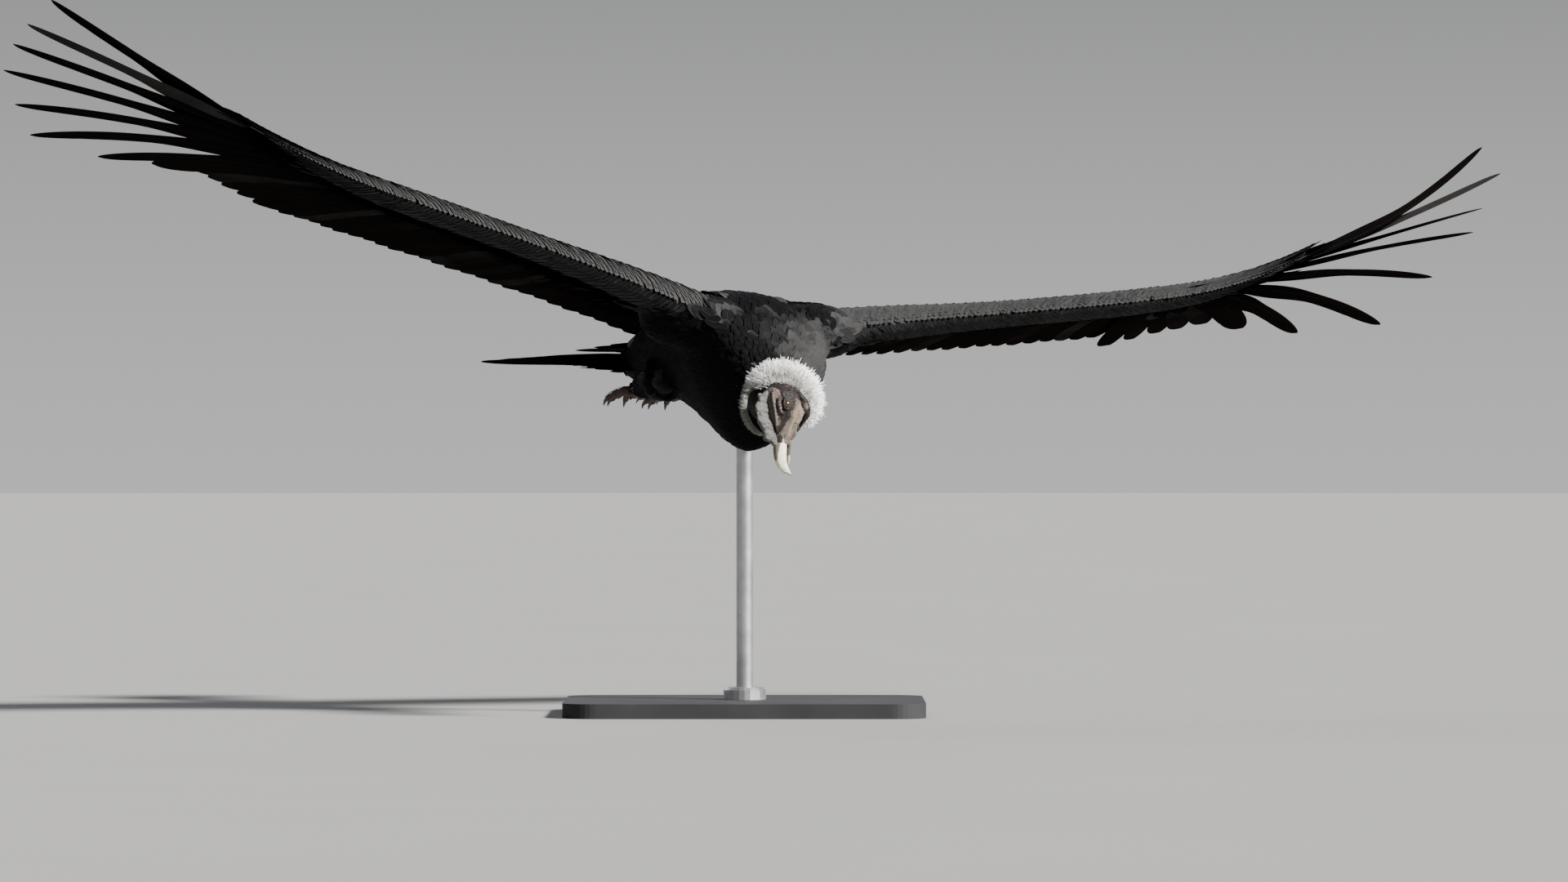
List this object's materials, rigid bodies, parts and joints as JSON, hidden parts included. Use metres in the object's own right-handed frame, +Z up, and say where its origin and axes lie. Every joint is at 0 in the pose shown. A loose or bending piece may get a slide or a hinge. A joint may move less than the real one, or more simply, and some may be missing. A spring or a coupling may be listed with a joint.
{
  "type": "andean condor model",
  "caption": "Life-size adult male Andean condor soaring with spread wings and hanging head, on a plain display stand.",
  "frame": {"origin": "centre of the flat underside of the display stand's base", "axes": "+Z up out of the base, the bird flies towards -Y and its left wing reaches towards +X"},
  "size_m": [2.6499, 1.5151, 1.2308],
  "materials": {
    "plumage": "matte black feathers",
    "down": "soft white down",
    "skin": "bare wrinkled skin",
    "comb": "grey fleshy comb",
    "ivory": "smooth ivory horn",
    "eye": "glossy brown eye",
    "foot": "grey scaly skin",
    "base": "satin dark paint",
    "steel": "brushed"
  },
  "bodies": {
    "root": {"torso": "plumage", "neck": "skin", "ruff": "down", "head": "skin", "comb": "comb", "bill_upper": "ivory", "bill_lower": "ivory", "eye_right": "eye", "eye_left": "eye", "wing_right_arm": "plumage", "wing_right_forearm": "plumage", "wing_right_hand": "plumage", "wing_left_arm": "plumage", "wing_left_forearm": "plumage", "wing_left_hand": "plumage", "tail": "plumage", "leg_right": "foot", "leg_left": "foot", "stand_base": "base", "stand_rod": "steel"}
  },
  "joints": []
}
